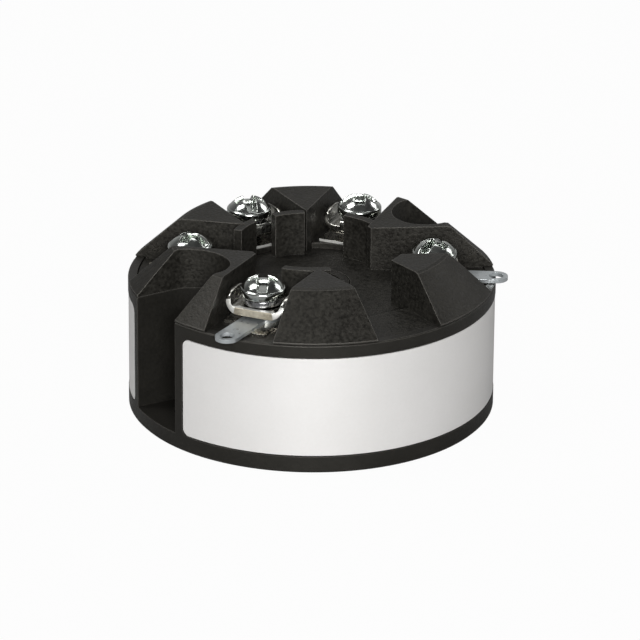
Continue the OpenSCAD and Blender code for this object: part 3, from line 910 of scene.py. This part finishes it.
for n in NUMBERS:
    clamp = closed_skin(f"folded_clamp_{n}", folded_clamp(n), clamp_metal, f"clamp_{n}",
                        looped=True)
    # Material 1 is the bare sheared metal, and material 2 a paler finish that is a painted
    # highlight.
    clamp.data.materials.append(sheared_edge)
    clamp.data.materials.append(highlight_metal)
    clamp.data.polygons.foreach_set("material_index", sheared_and_highlit_faces())
    lip = closed_skin(f"clamp_lip_{n}", clamp_lip(n), lip_metal, f"clamp_{n}")
    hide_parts(f"clamp_plate_{n}")
    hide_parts(f"clamp_plate_{n}")
print("clamps and lips, mm3 each:", round(signed_volume(clamp.data) / MM**3, 2),
      round(signed_volume(lip.data) / MM**3, 2))

# %% [markdown]
# ## Test lugs
#
# The two front terminals carry a flat lug with a hole for a test clip. The photograph shows
# that the left one was turned a little about its screw when it was tightened, and that the
# right one is a little shorter. A solid may not be moved, so each lug is drawn again from
# it: the points are turned about the screw's axis, and moved along the lug where they lie
# past its neck.

# %% Turn one lug and shorten the other one
LUG_TURNS, LUG_PULLS, LUG_NECK = (-7.2, 0), (-0.2, 0.38), 5.0


def drawn_lug(number):
    """The solid's mesh with its points turned about the screw and moved along at the tip."""
    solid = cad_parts[f"test_lug_{number}"]
    mesh = solid.data.copy()
    mesh.name = f"drawn_lug_{number}"
    place = np.empty(len(mesh.vertices) * 3)
    mesh.vertices.foreach_get("co", place)
    place = place.reshape(-1, 3) @ np.array(solid.matrix_world.to_3x3()).T
    place += np.array(solid.matrix_world.translation)
    turn = math.radians(TERMINAL_TURNS[number - 1])
    out, aside = turned(place[:, 0], place[:, 1], -turn)
    out = out - SCREW_REACH
    out = np.where(out > LUG_NECK * MM, out - LUG_PULLS[number - 1] * MM, out)
    out, aside = turned(out, aside, math.radians(LUG_TURNS[number - 1]))
    place[:, 0], place[:, 1] = turned(out + SCREW_REACH, aside, turn)
    mesh.vertices.foreach_set("co", place.ravel())
    mesh.update()
    piece = bpy.data.objects.new(f"drawn_lug_{number}", mesh)
    scene.collection.objects.link(piece)
    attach(piece, "housing")
    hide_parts(f"test_lug_{number}")
    return piece


lugs = [drawn_lug(number) for number in (1, 2)]
print("lugs, mm3 each:", [round(signed_volume(piece.data) / MM**3, 2) for piece in lugs])

# %% [markdown]
# ## The hidden electronics
#
# The board and its components are closed in by the cup, but they are part of the model and
# can be seen when it is taken apart. One dull grey would do for a closed part. Each gets
# the finish that such a component has, so that the parts can be told from each other.

# %% Dress the board and its components
resin = layered("potting_resin", ((0.03, 0.032, 0.036), (0.045, 0.047, 0.052)), patch=0.2,
                rough=(0.25, 0.4), grain=0.8, depth=0.01)
board = layered("board_laminate", ((0.008, 0.075, 0.03), (0.012, 0.11, 0.045)), patch=0.5,
                rough=(0.2, 0.32), grain=1.2, depth=0.004, coat=0.4)
winding = layered("transformer_case", ((0.05, 0.038, 0.028), (0.075, 0.06, 0.045)), patch=0.6,
                  rough=(0.4, 0.55), grain=2.0, depth=0.01)
chip = layered("chip_case", ((0.012, 0.012, 0.013), (0.02, 0.02, 0.021)), patch=0.7,
               rough=(0.45, 0.6), grain=4.0, depth=0.006)
ochre = layered("capacitor_case", ((0.36, 0.2, 0.035), (0.46, 0.27, 0.05)), patch=0.5,
                rough=(0.35, 0.5), grain=2.0, depth=0.006)
can = layered("crystal_can", ((0.6, 0.6, 0.59), (0.72, 0.72, 0.71)), patch=0.5,
              rough=(0.22, 0.36), grain=2.0, depth=0.003, metal=1.0, stretch=(1, 8, 1))
chip_body = layered("resistor_body", ((0.02, 0.021, 0.025), (0.035, 0.036, 0.04)), patch=1.0,
                    rough=(0.3, 0.45), grain=3.0, depth=0.004)
dress(resin, "potting_layer")
dress(board, "circuit_board")
dress(winding, "isolation_transformer")
dress(chip, "microcontroller", "converter_chip", "output_transistor")
dress(ochre, "storage_capacitors")
dress(can, "quartz_crystal")
dress(chip_body, "chip_resistors")
print("electronics dressed")
